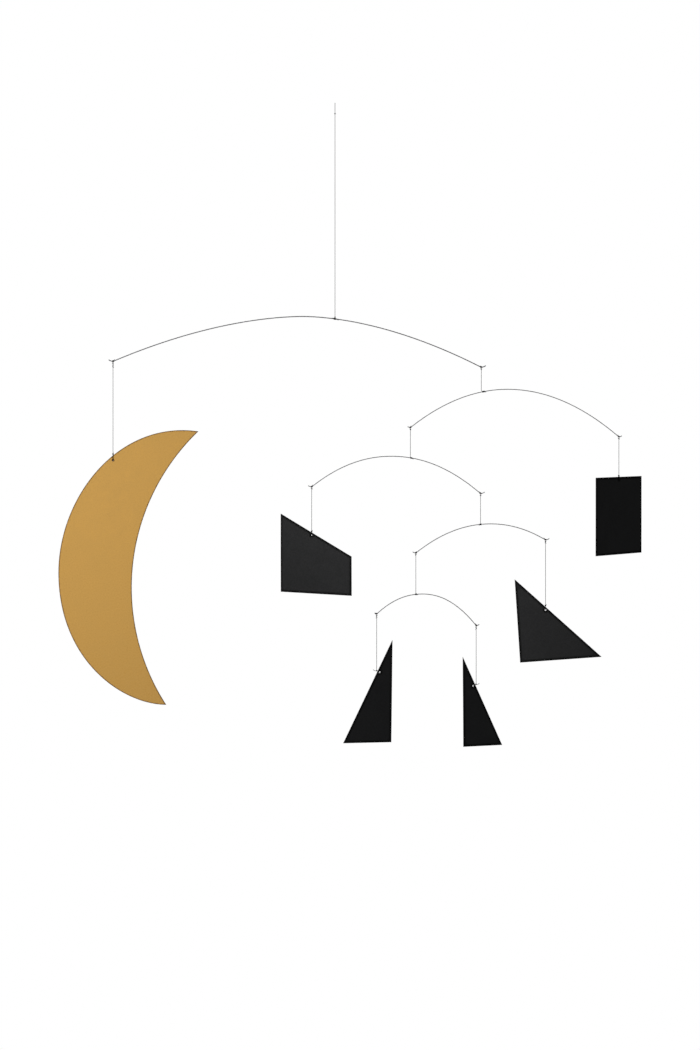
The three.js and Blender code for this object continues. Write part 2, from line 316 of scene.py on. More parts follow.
# A band pressed darker along the cut: strongest at the edge, gone at the reach, and broken up by a
# coarse noise as far as its cover leaves gaps.
def makeEdgeGroup():
    tree, start, end = newGroup(
        "cutBand",
        [
            ("Vector", "Vector", None),
            ("Distance", "Float", 1.0),
            ("Reach", "Float", 0.0012),
            ("Cover", "Float", 0.0),
        ],
        [("Mask", "Float")],
    )
    near = combine(tree, "DIVIDE", start.outputs["Distance"], start.outputs["Reach"], (-2, 1))
    fade = combine(tree, "POWER", spread(tree, near, (-1, 1), 1.0, 0.0), 0.5, (0, 1))
    patches = spread(tree, noiseOn(tree, start.outputs["Vector"], (-2, -1), 420.0, 4.0), (-1, -1), 0.46, 0.66)
    covered = combine(tree, "ADD", patches, start.outputs["Cover"], (0, -1))
    whole = combine(tree, "MINIMUM", covered, 1.0, (1, -1))
    mask = combine(tree, "MULTIPLY", fade, whole, (1, 0))
    tree.links.new(mask, end.inputs["Mask"])
    return tree


fibreGroup = makeFibreGroup()
edgeGroup = makeEdgeGroup()

# Linear colours. The two of a pair are mixed by the grain.
blackSet = {
    "tones": ((0.0039, 0.0040, 0.0044), (0.0065, 0.0066, 0.0072)),
    "band": (0.0015, 0.0015, 0.0015),
    "bandReach": 2.8 * mm,
    "bandCover": 0.8,
    "grain": 700.0,
    "cloud": 60.0,
    "roughness": (0.62, 0.74),
    "specular": 0.02,
    "coat": (0.50, 0.78),
    "coatRoughness": 0.36,
    "bump": 0.10,
}
goldSet = {
    "tones": ((0.262, 0.140, 0.026), (0.444, 0.260, 0.070)),
    "band": (0.21, 0.108, 0.030),
    "bandReach": 1.3 * mm,
    "bandCover": 0.8,
    "grain": 620.0,
    "cloud": 60.0,
    "roughness": (0.44, 0.60),
    "metal": (0.70, 0.86),
    "specular": 0.4,
    "bump": 0.22,
}
rimSet = {
    "black": ((0.010, 0.010, 0.010), (0.020, 0.020, 0.020)),
    "gold": ((0.36, 0.22, 0.08), (0.52, 0.35, 0.16)),
    "grain": 3200.0,
    "cloud": 300.0,
    "roughness": 0.85,
    "specular": 0.25,
    "bump": 0.5,
}
steelSet = {
    "tones": ((0.135, 0.135, 0.14), (0.205, 0.205, 0.212)),
    "roughness": (0.42, 0.56),
    "streaks": (26.0, 0.35, 1.0),  # across the wire, and along it
    "stains": 55.0,
    "bump": 0.10,
}
fibreSet = {"slant": 28, "size": (16.0, 3.0, 1.0), "scale": 1.6}  # on a thread's own map
threadLook = {"tones": ((0.018, 0.018, 0.019), (0.060, 0.060, 0.062)), "roughness": (0.78, 0.95), "bump": 0.5}
# The same thread painted darker, as painted shade for the turns on a wire and the strands through a hole.
threadShadeLook = {"tones": ((0.002, 0.002, 0.002), (0.009, 0.009, 0.009)), "roughness": (0.85, 0.98), "bump": 0.5}


# Printed and pressed card: fibre grain in colour, gloss and relief, and a darker band along the cut
# edge.
def makeCardLook(name, c):
    look, tree, shader = newLook(name)
    here = addNode(tree, "TexCoord", (-5, 0)).outputs["Object"]
    edge = addNode(tree, "Attribute", (-5, -1), attribute_name="edgeDistance").outputs["Fac"]
    fibre = useGroup(tree, fibreGroup, (-3, 0), {"Grain": c["grain"], "Cloud": c["cloud"]})
    band = useGroup(tree, edgeGroup, (-3, -1), {"Reach": c["bandReach"], "Cover": c["bandCover"]})
    tree.links.new(here, fibre.inputs["Vector"])
    tree.links.new(here, band.inputs["Vector"])
    tree.links.new(edge, band.inputs["Distance"])
    tone = mixTones(tree, fibre.outputs["Tone"], *c["tones"], (-1, 1))
    tree.links.new(mixTones(tree, band.outputs["Mask"], tone, c["band"], (0, 1)), shader.inputs["Base Color"])
    rough = spread(tree, fibre.outputs["Tone"], (-1, 0), 0, 1, *c["roughness"])
    rough = combine(tree, "MAXIMUM", rough, band.outputs["Mask"], (0, 0))
    tree.links.new(rough, shader.inputs["Roughness"])
    if "metal" in c:
        metal = spread(tree, fibre.outputs["Tone"], (-1, -1), 0, 1, *c["metal"])
        tree.links.new(metal, shader.inputs["Metallic"])
    if "coat" in c:
        sheen = spread(tree, fibre.outputs["Tone"], (-1, -1), 0, 1, *c["coat"])
        bare = combine(tree, "SUBTRACT", 1.0, band.outputs["Mask"], (-1, -2))
        tree.links.new(combine(tree, "MULTIPLY", sheen, bare, (0, -1)), shader.inputs["Coat Weight"])
        shader.inputs["Coat Roughness"].default_value = c["coatRoughness"]
    shader.inputs["Specular IOR Level"].default_value = c["specular"]
    bumpFrom(tree, fibre.outputs["Height"], shader, c["bump"], 0.04 * mm, (0, -2))
    return look


# The card's cut rim, where bare fibres stand out finer and rougher than on its face.
def makeRimLook(name, tones):
    look, tree, shader = newLook(name)
    here = addNode(tree, "TexCoord", (-4, 0)).outputs["Object"]
    fibre = useGroup(tree, fibreGroup, (-2, 0), {"Grain": rimSet["grain"], "Cloud": rimSet["cloud"]})
    tree.links.new(here, fibre.inputs["Vector"])
    tree.links.new(mixTones(tree, fibre.outputs["Tone"], *tones, (0, 1)), shader.inputs["Base Color"])
    shader.inputs["Roughness"].default_value = rimSet["roughness"]
    shader.inputs["Specular IOR Level"].default_value = rimSet["specular"]
    bumpFrom(tree, fibre.outputs["Height"], shader, rimSet["bump"], 0.05 * mm, (0, -1))
    return look


# Drawn wire: fine streaks that run lengthwise, read from the wire's own map.
def makeSteelLook(c):
    look, tree, shader = newLook("drawnSteel")
    here = addNode(tree, "UVMap", (-5, 0), uv_map="UVMap").outputs["UV"]
    stretch = addNode(tree, "Mapping", (-4, 0))
    stretch.inputs["Scale"].default_value = c["streaks"]
    tree.links.new(here, stretch.inputs["Vector"])
    streaks = noiseOn(tree, stretch.outputs["Vector"], (-3, 0), 1.0, 4.0, 0.6)
    streaks = spread(tree, streaks, (-2, 0), 0.3, 0.7)
    stains = addNode(tree, "TexCoord", (-5, -1)).outputs["Object"]
    stains = spread(tree, noiseOn(tree, stains, (-3, -1), c["stains"], 3.0), (-2, -1), 0.35, 0.7)
    share = combine(tree, "MULTIPLY_ADD", streaks, 0.7, (-1, 0))
    tree.links.new(mixTones(tree, share, *c["tones"], (0, 1)), shader.inputs["Base Color"])
    tree.links.new(spread(tree, stains, (0, 0), 0, 1, *c["roughness"]), shader.inputs["Roughness"])
    shader.inputs["Metallic"].default_value = 1.0
    bumpFrom(tree, streaks, shader, c["bump"], 0.02 * mm, (0, -1))
    return look


# Spun thread: fibres slant across the plies in two tones, the darker one also painted shade where they tuck
# in.
def makeThreadLook(name, c):
    look, tree, shader = newLook(name)
    here = addNode(tree, "UVMap", (-5, 0), uv_map="UVMap").outputs["UV"]
    slant = addNode(tree, "Mapping", (-4, 0))
    slant.inputs["Rotation"].default_value = (0, 0, math.radians(fibreSet["slant"]))
    slant.inputs["Scale"].default_value = fibreSet["size"]
    tree.links.new(here, slant.inputs["Vector"])
    fibres = noiseOn(tree, slant.outputs["Vector"], (-3, 0), fibreSet["scale"], 5.0, 0.65)
    fibres = spread(tree, fibres, (-2, 0), 0.3, 0.7)
    tree.links.new(mixTones(tree, fibres, *c["tones"], (0, 1)), shader.inputs["Base Color"])
    tree.links.new(spread(tree, fibres, (0, 0), 0, 1, *c["roughness"]), shader.inputs["Roughness"])
    shader.inputs["Specular IOR Level"].default_value = 0.15
    bumpFrom(tree, fibres, shader, c["bump"], 0.03 * mm, (0, -1))
    return look


blackCard = makeCardLook("blackCard", blackSet)
goldCard = makeCardLook("goldCard", goldSet)
blackRim = makeRimLook("blackRim", rimSet["black"])
goldRim = makeRimLook("goldRim", rimSet["gold"])
drawnSteel = makeSteelLook(steelSet)
spunThread = makeThreadLook("spunThread", threadLook)
# The darker thread look carries painted shade, for turns on wires and strands through holes.
shadowedThread = makeThreadLook("shadowedThread", threadShadeLook)
print("materials made")

# Thread: three plies laid together, dark and dull.
threadSet = {
    "diameter": 0.55 * mm,
    "plies": 3,
    "perPly": 5,
    "twist": 2.3 * mm,  # one turn of the plies
    "step": 0.22 * mm,  # between rings
    "endTaper": 0.27 * mm,
    "rest": 0.02 * mm,  # left between a wire and the thread wound on it
    "turnPitch": 0.56 * mm,  # from one turn on a wire to the next
    "knotGap": 0.6 * mm,  # from a wire to the knot that turns under or over it
    "knotClear": 0.03 * mm,  # from that knot to the end of the thread wound on the wire
    "ease": 1.6 * mm,  # how far over its wire an arm's thread starts to lean to the front
}
turningKnot = {"height": 1.3 * mm, "turns": 1.5}
cardKnot = {"height": 1.7 * mm, "turns": 2.3}
threadRadius = threadSet["diameter"] / 2
threadSection = pliedSection(threadRadius, threadSet["plies"], threadSet["perPly"])


# Thread along a path, with both cut ends drawn in over the last part of a millimetre. The reference
# is one vector, or one for each of the path's points.
def threadShell(path, reference):
    rows = evenPath(np.hstack([path, np.broadcast_to(reference, path.shape)]), threadSet["step"])
    along = distanceAlong(rows)
    fromEnd = np.minimum(along, along[-1] - along) / threadSet["endTaper"]
    size = 0.35 + 0.65 * np.sqrt(np.clip(fromEnd, 0, 1))
    return sweep(rows[:, :3], threadSection, rows[:, 3:], threadSet["twist"], size)


# A straight stretch from one point to another.
def straightPath(start, end):
    share = np.linspace(0, 1, 2 + int(np.linalg.norm(np.subtract(end, start)) / mm))[:, None]
    return np.asarray(start, float) * (1 - share) + np.asarray(end, float) * share


# A barrel knot: turns of the thread's own end round it, one above another, that tuck in at the top
# and the foot. Its radius is two thread radii, less near both ends, and its height falls evenly with
# the turns.
def barrelKnot(middle, knot, startAngle=0.0):
    share = np.linspace(0, 1, int(knot["turns"] * 26))
    angle = startAngle + 2 * math.pi * knot["turns"] * share
    tuck = np.sqrt(np.clip(np.minimum(share, 1 - share) / 0.09, 0, 1))
    swell = 1 + 0.10 * np.sin(math.pi * share) + 0.03 * np.cos(angle * 0.5 + startAngle)
    radius = threadRadius * (0.9 + 1.1 * tuck) * swell
    reach = knot["height"] - threadSet["diameter"]
    height = middle[2] + reach * (0.5 - share) + 0.10 * threadRadius * np.sin(angle)
    path = np.stack([middle[0] + radius * np.cos(angle), middle[1] + radius * np.sin(angle), height], 1)
    return sweep(evenPath(path, 0.11 * mm), threadSection, (0, 0, 1.0), threadSet["twist"])


# A thread's cut end twisted loosely about its own run: a helix that winds downwards and stands off at
# its tip.
def looseTurns(top, length, pitch, startAngle):
    share = np.linspace(0, 1, 60)
    angle = startAngle + 2 * math.pi * length / pitch * share
    radius = threadRadius * (1.7 + 0.9 * share**2)
    x, y = top[0] + radius * np.cos(angle), top[1] + radius * np.sin(angle)
    spot = np.stack([x, y, top[2] - length * share], 1)
    return threadShell(spot, (math.cos(startAngle), math.sin(startAngle), 0.15))


# The hanging thread runs up from the main wire and bends round into the loop that goes over a hook.
# The loop stands edge-on to the camera. Points are (y, z) in millimetres.
hangingSet = {
    "foot": 220.8,  # from the hook down to the thread's foot
    "loopKnot": 10.65,  # from the hook down to the middle of the loop's knot
    "loop": [
        (-0.1, -9.2), (-1.2, -6.2), (-2.0, -1.725), (0, 0.275), (2.0, -1.725), (1.35, -6.2), (0.62, -9.2),
    ],
    "end": [(0.57, -10.4), (0.57, -11.1)],
    "knotBack": 0.12,  # the loop's knot lies round both strands
    "length": 0.2349,
}


def makeHangingThread(h):
    foot = np.array([0, 0, -h["foot"] * mm])
    knotAt = np.array([0, h["knotBack"] * mm, -h["loopKnot"] * mm])
    leadIn = [(0, -h["loopKnot"] - 2), (0, -h["loopKnot"])]
    bow = [(0, y * mm, z * mm) for y, z in leadIn + h["loop"] + h["end"]]
    path = evenPath(np.vstack([straightPath(foot, bow[0])[:-1], smoothPath(bow)]), threadSet["step"])
    run = makePiece("hanging_thread_run", threadShell(path, (1.0, 0, 0)), [spunThread], "hanging_thread",
                    ["hanging_thread"])
    loopKnot = makePiece("hanging_thread_loop_knot", barrelKnot(knotAt, turningKnot, 0.6), [spunThread],
                         "hanging_thread")
    footAt = foot + [0, 0, turningKnot["height"] / 2]
    footKnot = makePiece("hanging_thread_foot_knot", barrelKnot(footAt, turningKnot), [spunThread],
                         "hanging_thread")
    print("hanging thread", round(float(distanceAlong(path)[-1]), 4), "m long")


makeHangingThread(hangingSet)

# Wires, in millimetres from the hook. Reaches go sideways from the arm's own thread, and falls down
# from the highest point of the bend, which lies crown to the side of that thread. Tails are what runs
# on past each end.
armSet = {
    "main_arm": {
        "wire": 1.0, "above": None, "threadLength": 221.9,
        "leftReach": 228.5, "rightReach": 150.6, "crown": -33.5,
        "leftFall": 46.2, "rightFall": 52.3, "bend": 1.79, "tails": (4.9, 5.0),
    },
    "second_arm": {
        "wire": 0.8, "above": ("main_arm", 1), "threadLength": 25.6,
        "leftReach": 73.0, "rightReach": 141.6, "crown": 27.0,
        "leftFall": 39.4, "rightFall": 49.0, "bend": 2.01, "tails": (3.2, 3.4),
    },
    "third_arm": {
        "wire": 0.8, "above": ("second_arm", -1), "threadLength": 31.2,
        "leftReach": 101.6, "rightReach": 72.2, "crown": -19.7,
        "leftFall": 31.5, "rightFall": 38.4, "bend": 2.07, "tails": (3.9, 4.7),
    },
    "fourth_arm": {
        "wire": 0.8, "above": ("third_arm", 1), "threadLength": 31.8,
        "leftReach": 66.6, "rightReach": 66.9, "crown": 10.4,
        "leftFall": 30.0, "rightFall": 16.5, "bend": 2.05, "tails": (3.5, 4.2),
    },
    "lowest_arm": {
        "wire": 0.8, "above": ("fourth_arm", -1), "threadLength": 42.6,
        "leftReach": 40.3, "rightReach": 62.1, "crown": 6.7,
        "leftFall": 20.6, "rightFall": 32.5, "bend": 2.12, "tails": (2.4, 3.5),
    },
}
wireSet = {
    "tailStart": 4, "tailEnd": 38, "tailSteps": 5,  # degrees of slope
    "kinkReach": 0.8,
    "sides": 16, "step": 0.5,
    "breakDepths": (0.12, 0.35), "breakSizes": (0.70, 0.90),  # of the cut ends, in wire radii
}


# How far the wire lies below its crown: the fall of that side, times the share of its reach to the
# power of bend.
def fallOf(arm, x):
    side = x - arm["crown"]
    reach = np.where(side < 0, arm["leftReach"] + arm["crown"], arm["rightReach"] - arm["crown"])
    return np.where(side < 0, arm["leftFall"], arm["rightFall"]) * (np.abs(side) / reach) ** arm["bend"]


def heightOf(arm, x):
    return fallOf(arm, 0.0) - fallOf(arm, x)


# One end of a wire, outwards: a small round kink where the thread sits, then a tail that curls up.
# The tail is short steps whose slope grows evenly from its start angle to its end angle.
def endOf(arm, out):
    w = wireSet
    x = arm["rightReach"] if out > 0 else -arm["leftReach"]
    seat = np.array([x, heightOf(arm, x)])
    start = np.array([x - out * w["kinkReach"], heightOf(arm, x - out * w["kinkReach"])])
    share = (np.arange(w["tailSteps"]) + 0.5) / w["tailSteps"]
    slope = np.radians(w["tailStart"] + (w["tailEnd"] - w["tailStart"]) * share)
    steps = arm["tails"][int(out > 0)] / w["tailSteps"] * np.stack([out * np.cos(slope), np.sin(slope)], 1)
    tail = seat + np.cumsum(steps, axis=0)
    t = np.linspace(0, 1, 10)[:, None]
    kink = (1 - t) ** 2 * start + 2 * t * (1 - t) * seat + t**2 * tail[0]
    return np.vstack([kink, tail[1:]])


# The whole wire's centre line about its own thread's place, from the left tip to the right one.
def wireLine(arm):
    left, right = endOf(arm, -1)[::-1], endOf(arm, 1)
    x = np.linspace(left[-1, 0], right[0, 0], 160)[1:-1]
    line = np.vstack([left, np.stack([x, heightOf(arm, x)], 1), right])
    return np.stack([line[:, 0], np.zeros(len(line)), line[:, 1]], 1)


# Where a thread sits in the kink: at the lowest of the four points that the solid's line has there.
def seatOf(arm, out):
    x = arm["rightReach"] if out > 0 else -arm["leftReach"]
    coarse = endOf(arm, out)[[0, 3, 6, 9]]
    return np.array([x, 0, coarse[:, 1].min()])


# Places, from the hook down: each arm hangs its thread's length under the seat that carries it.
def placeArms():
    places = {}
    for name, arm in armSet.items():
        top = np.zeros(3)
        if arm["above"]:
            carrier, out = arm["above"]
            top = places[carrier] + seatOf(armSet[carrier], out)
        places[name] = top - [0, 0, arm["threadLength"]]
    return places


placeOf = placeArms()


# A wire's round bar, with its two cut ends just broken.
def makeWire(name, arm):
    path = evenPath((wireLine(arm) + placeOf[name]) * mm, wireSet["step"] * mm)
    radius = arm["wire"] / 2 * mm
    breaks = np.array(wireSet["breakDepths"]) * radius
    ends = [path[0], path[-1]]
    ways = [unit(path[1] - path[0]), unit(path[-2] - path[-1])]
    first, last = [np.vstack([end, end + way * breaks[:, None]]) for end, way in zip(ends, ways)]
    line = np.vstack([first, path[1:-1], last[::-1]])
    size = np.ones(len(line))
    size[:2] = size[:-3:-1] = wireSet["breakSizes"]
    shell = sweep(line, roundSection(radius, wireSet["sides"]), (0, 1.0, 0), None, size)
    piece = makePiece(name + "_wire", shell, [drawnSteel], name, [name])
    solid = np.array(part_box(name))
    off = float(np.abs(solid - [shell["vertices"].min(0), shell["vertices"].max(0)]).max() / mm)
    length = float(distanceAlong(path)[-1] / mm)
    print(name, "wire", round(length, 1), "mm long, off its solid by", round(off, 3))
    return {"line": path, "along": distanceAlong(path), "ways": np.gradient(path, axis=0), "radius": radius}


wireOf = {name: makeWire(name, arm) for name, arm in armSet.items()}
print("wires made")


# A wire's middle at places along it, and the direction square to it, upwards.
def frameAlong(wire, at):
    middle = np.stack([np.interp(at, wire["along"], column) for column in wire["line"].T], 1)
    way = unit(np.stack([np.interp(at, wire["along"], column) for column in wire["ways"].T], 1))
    return middle, np.stack([-way[:, 2], 0 * at, way[:, 0]], 1)


# Thread on a wire: it stands off the wire's middle by both radii, at an angle that starts at the
# front and goes down from there for a thread that comes from above, and up for one that comes from
# below.
def onWire(wire, at, angle, side, lift=0.0):
    middle, up = frameAlong(wire, at)
    out = np.cos(angle)[:, None] * np.array([0, -1.0, 0]) - side * np.sin(angle)[:, None] * up
    standOff = wire["radius"] + threadRadius + threadSet["rest"] + lift
    return np.hstack([middle + out * np.reshape(standOff, (-1, 1)), out])


# A thread tied round a wire: it comes straight from far, eases over to the wire's front, winds on
# turn by turn, and its cut end runs on along the wire. side is 1 from above and -1 from below, toward
# 1 to the right.
def tiePath(wire, x, far, side, ease, tie):
    pitch = tie["toward"] * threadSet["turnPitch"]
    spot = np.interp(x, wire["line"][:, 0], wire["along"]) + tie.get("shift", 0.0) * mm
    start = spot - pitch * tie["turns"] / 2
    first = onWire(wire, np.array([start]), np.zeros(1), side)[0]
    share = np.linspace(0, 1, 24)
    smooth = share**2 * (3 - 2 * share)
    height = first[2] + side * ease * (1 - share)
    eased = np.stack([x + (first[0] - x) * smooth, first[1] * smooth, height], 1)
    run = straightPath((x, 0, far), eased[0])[:-1]
    angle = np.linspace(0, 2 * math.pi * tie["turns"], int(26 * tie["turns"]))
    wound = onWire(wire, start + pitch * angle / (2 * math.pi), angle, side)
    t = np.linspace(0, 1, 30)[1:]
    tailAt = start + pitch * tie["turns"] + tie["toward"] * tie["tail"] * mm * t**2
    tailAngle = angle[-1] + 2 * math.pi * tie["tailTurn"] * (1 - (1 - t) ** 2)
    tail = onWire(wire, tailAt, tailAngle, side, tie["lift"] * mm * t**3)
    ahead = np.vstack([run, eased[:-1]])
    return np.vstack([np.hstack([ahead, np.broadcast_to((0, -1.0, 0), ahead.shape)]), wound, tail])


def tieShell(*args):
    rows = tiePath(*args)
    return threadShell(rows[:, :3], rows[:, 3:])


# How each arm's own thread is tied on, and how the thread below each wire end is. Lengths in
# millimetres.
ownTies = {
    "second_arm": {"turns": 4, "toward": 1, "shift": 2.3, "tail": 1.6, "tailTurn": 0.3, "lift": 0.3},
    "third_arm": {"turns": 3, "toward": 1, "shift": 0.9, "tail": 1.8, "tailTurn": 0.2, "lift": 0.2},
    "fourth_arm": {"turns": 3, "toward": -1, "shift": 0.1, "tail": 1.2, "tailTurn": 0.3, "lift": 0.3},
    "lowest_arm": {"turns": 3, "toward": 1, "shift": 0.2, "tail": 1.4, "tailTurn": 0.4, "lift": 0.3},
}
endTies = {
    "moon": {"turns": 3, "toward": 1, "tail": 1.8, "tailTurn": 0.3, "lift": 0.3},
    "second_arm": {"turns": 3, "toward": -1, "tail": 1.2, "tailTurn": 0.4, "lift": 0.4},
    "square_card": {"turns": 3, "toward": -1, "tail": 1.4, "tailTurn": 0.3, "lift": 0.3},
    "third_arm": {"turns": 3, "toward": 1, "tail": 1.0, "tailTurn": 0.3, "lift": 0.3},
    "trapezium_card": {"turns": 3, "toward": 1, "tail": 1.2, "tailTurn": 0.2, "lift": 0.4},
    "fourth_arm": {"turns": 3, "toward": -1, "tail": 1.2, "tailTurn": 0.3, "lift": 0.3},
    "triangle_card": {"turns": 3, "toward": -1, "tail": 2.0, "tailTurn": 0.2, "lift": 0.3},
    "lowest_arm": {"turns": 3, "toward": 1, "tail": 1.0, "tailTurn": 0.4, "lift": 0.3},
    "left_narrow_card": {"turns": 3, "toward": -1, "tail": 1.6, "tailTurn": 0.4, "lift": 0.4},
    "right_narrow_card": {"turns": 3, "toward": -1, "tail": 1.2, "tailTurn": 0.3, "lift": 0.3},
}
looseEnds = {"moon": 4.6, "left_narrow_card": 2.4, "right_narrow_card": 2.2, "triangle_card": 1.8}
looseLength, loosePitch = 0.7, 1.7


def threadNode(name):
    return name.replace("_card", "") + "_thread"


# What hangs a thread from a wire end: turns on the wire, which go with the wire, and a knot right
# under them, with its cut end twisted round the run, which go with what hangs there. Gives the height
# of the knot's top, and the shells.
def hangFrom(name, carrier, out, startAngle):
    seat = (placeOf[carrier] + seatOf(armSet[carrier], out)) * mm
    wire = wireOf[carrier]
    knotTop = seat[2] - wire["radius"] - threadSet["knotGap"]
    end = knotTop + threadSet["knotClear"]
    middle = frameAlong(wire, np.interp([seat[0]], wire["line"][:, 0], wire["along"]))[0][0]
    shell = tieShell(wire, seat[0], end, -1, middle[2] - end, endTies[name])
    # The turns on the wire take the darker thread, painted with the shade they lie in.
    makePiece(threadNode(name) + "_turns", shell, [shadowedThread], carrier)
    knot = barrelKnot((seat[0], 0, knotTop - turningKnot["height"] / 2), turningKnot, startAngle)
    foot = (seat[0], 0, knotTop - turningKnot["height"] + threadRadius)
    length = looseEnds.get(name, looseLength) * mm
    return knotTop, [knot, looseTurns(foot, length, loosePitch * mm, startAngle + 2.0)]


# Each arm's thread, from the wire above to its own wire.
def makeArmThread(name, arm, startAngle):
    carrier, out = arm["above"]
    knotTop, shells = hangFrom(name, carrier, out, startAngle)
    place = placeOf[name] * mm
    tie = tieShell(wireOf[name], place[0], knotTop - threadRadius, 1, threadSet["ease"], ownTies[name])
    # The second look is the thread painted darker as shade; no shell of this piece uses it.
    looks = [spunThread, shadowedThread]
    makePiece(threadNode(name) + "_run", together([tie, *shells]), looks, name, [threadNode(name)])


for index, (name, arm) in enumerate(armSet.items()):
    if arm["above"]:
        makeArmThread(name, arm, 1.3 * index)

# On the main wire the hanging thread ends in a few close turns, and both cut ends lie along the wire.
mainTie = {"turns": 4, "toward": 1, "tail": 2.9, "tailTurn": 0.15, "lift": 0.15, "intoKnot": 0.3}
mainTail = {"from": -0.8, "to": -3.6, "angles": (0.9, 0.35), "lift": 0.25}


def makeMainTie():
    wire = wireOf["main_arm"]
    place = placeOf["main_arm"] * mm
    foot = -hangingSet["foot"] * mm + mainTie["intoKnot"] * mm
    turns = tieShell(wire, place[0], foot, 1, foot - place[2], mainTie)
    spot = np.interp(place[0], wire["line"][:, 0], wire["along"])
    t = np.linspace(0, 1, 24)
    at = spot + (mainTail["from"] + (mainTail["to"] - mainTail["from"]) * t) * mm
    angle = mainTail["angles"][0] + (mainTail["angles"][1] - mainTail["angles"][0]) * t
    rows = onWire(wire, at, angle, -1, mainTail["lift"] * mm * t**2)
    end = threadShell(rows[:, :3], rows[:, 3:])
    # The turns and cut end on the main wire take the darker thread, painted with the shade they lie in.
    makePiece("hanging_thread_turns", together([turns, end]), [shadowedThread], "main_arm")


makeMainTie()
print("arm threads made")

# Sheets. Cards stand on their lower left corner before they are tilted about it, and the moon is
# measured from the outermost point of its back, all in millimetres. A turn is about the thread.
sheetShared = {"holeDiameter": 1.6, "steepDegrees": 50, "knotDiameter": 1.6, "gap": 0.3, "bevel": 0.10}
sheetSet = {
    "moon": {
        "hangs": ("main_arm", -1), "threadLength": 95.5, "turn": 0,
        "thickness": 0.6, "inset": 3.9, "bow": 1.0,
        "holeDiameter": 1.2, "strands": 2,
        "upperHorn": (144.1, 145.5), "lowerHorn": (110.9, -136.0), "backUp": 77.8, "backDown": -90.9,
        "shoulder": (61.6, 157.7), "hip": (66.4, -136.2), "innerRadius": 222.9,
    },
    "square_card": {
        "hangs": ("second_arm", 1), "threadLength": 40.1, "turn": 49.8,
        "thickness": 0.75, "inset": 2.4, "bow": 0.1,
        "holeDiameter": 1.2, "strands": 2,
        "corners": [(0, 0), (83, 0), (83, 79.8), (0, 79.8)], "tilt": 0,
    },
    "trapezium_card": {
        "hangs": ("third_arm", -1), "threadLength": 45.8, "turn": -37.2,
        "thickness": 0.75, "inset": 2.4, "bow": 0.4,
        "corners": [(0, 0), (92, 0), (92, 40.0), (0, 81.1)], "tilt": 0,
    },
    "triangle_card": {
        "hangs": ("fourth_arm", 1), "threadLength": 67.5, "turn": 2,
        "thickness": 0.75, "inset": 2.4, "bow": 0.4,
        "corners": [(0, 0), (84.3, 0), (0, 85.9)], "tilt": 3.8,
    },
    "left_narrow_card": {
        "hangs": ("lowest_arm", -1), "threadLength": 58.4, "turn": 14, "aside": 1.0,
        "thickness": 0.75, "inset": 2.4, "bow": 0.3,
        "corners": [(0, 0), (51.0, 0), (51.0, 105.4)], "tilt": -0.66,
    },
    "right_narrow_card": {
        "hangs": ("lowest_arm", 1), "threadLength": 60.5, "turn": 16,
        "thickness": 0.75, "inset": 2.4, "bow": 0.3,
        "corners": [(0, 0), (42.2, 0), (0, 92.5)], "tilt": 0.45,
    },
}
meshSet = {"rimStep": 1.6, "rows": (0.5, 1.2, 2.6), "grid": 4.0, "holeSides": 28}


# Points along the straight sides between corners, at about even steps.
def sidesOf(corners, step):
    ends = np.roll(corners, -1, axis=0)
    counts = np.maximum(1, np.round(np.linalg.norm(ends - corners, axis=1) / step)).astype(int)
    share = np.concatenate([np.arange(n) / n for n in counts])[:, None]
    return np.repeat(corners, counts, axis=0) * (1 - share) + np.repeat(ends, counts, axis=0) * share


def cardOutline(s):
    tilt = math.radians(s["tilt"])
    turn = np.array([[math.cos(tilt), math.sin(tilt)], [-math.sin(tilt), math.cos(tilt)]])
    return sidesOf(np.array(s["corners"], float) @ turn, meshSet["rimStep"])


# A cubic curve whose two middle points pull it.
def cubic(a, b, c, d, steps):
    t = np.linspace(0, 1, steps, endpoint=False)[:, None]
    a, b, c, d = (np.array(p, float) for p in (a, b, c, d))
    return (1 - t) ** 3 * a + 3 * t * (1 - t) ** 2 * b + 3 * t**2 * (1 - t) * c + t**3 * d


# The crescent: two cubic curves down its back, and an arc of one radius up its hollow side.
def moonOutline(s):
    top, bottom = np.array(s["upperHorn"]), np.array(s["lowerHorn"])
    chord = top - bottom
    across = np.array([chord[1], -chord[0]]) / np.linalg.norm(chord)
    centre = (top + bottom) / 2 + across * math.sqrt(s["innerRadius"] ** 2 - chord @ chord / 4)
    low, high = (math.atan2(*(p - centre)[::-1]) % (2 * math.pi) for p in (bottom, top))
    angle = np.linspace(low, high, 180, endpoint=False)[:, None]
    return np.vstack([
        cubic(top, s["shoulder"], (0, s["backUp"]), (0, 0), 130),
        cubic((0, 0), (0, s["backDown"]), s["hip"], bottom, 110),
        centre + s["innerRadius"] * np.hstack([np.cos(angle), np.sin(angle)]),
    ])


# Where a sheet hangs: over its middle of area or a little aside from there, on its highest edge. The
# knot stands just off that edge, and the hole is straight under it, or on a steep edge square to the
# edge.
def holdOf(outline, inset, aside):
    following = np.roll(outline, -1, axis=0)
    cross = outline[:, 0] * following[:, 1] - following[:, 0] * outline[:, 1]
    x = ((outline[:, 0] + following[:, 0]) * cross).sum() / (3 * cross.sum()) + aside
    crossing = (outline[:, 0] - x) * (following[:, 0] - x) <= 0
    crossing &= outline[:, 0] != following[:, 0]
    a, b = outline[crossing], following[crossing]
    slope = (b[:, 1] - a[:, 1]) / (b[:, 0] - a[:, 0])
    height = a[:, 1] + slope * (x - a[:, 0])
    best = height.argmax()
    lean = math.atan(slope[best])
    standOff = sheetShared["knotDiameter"] / 2 + sheetShared["gap"]
    knot = np.array([x, height[best] + standOff / math.cos(lean)])
    across = standOff + inset
    if abs(lean) > math.radians(sheetShared["steepDegrees"]):
        return knot, across * np.array([math.sin(lean), -math.cos(lean)])
    return knot, np.array([0, -across / math.cos(lean)])


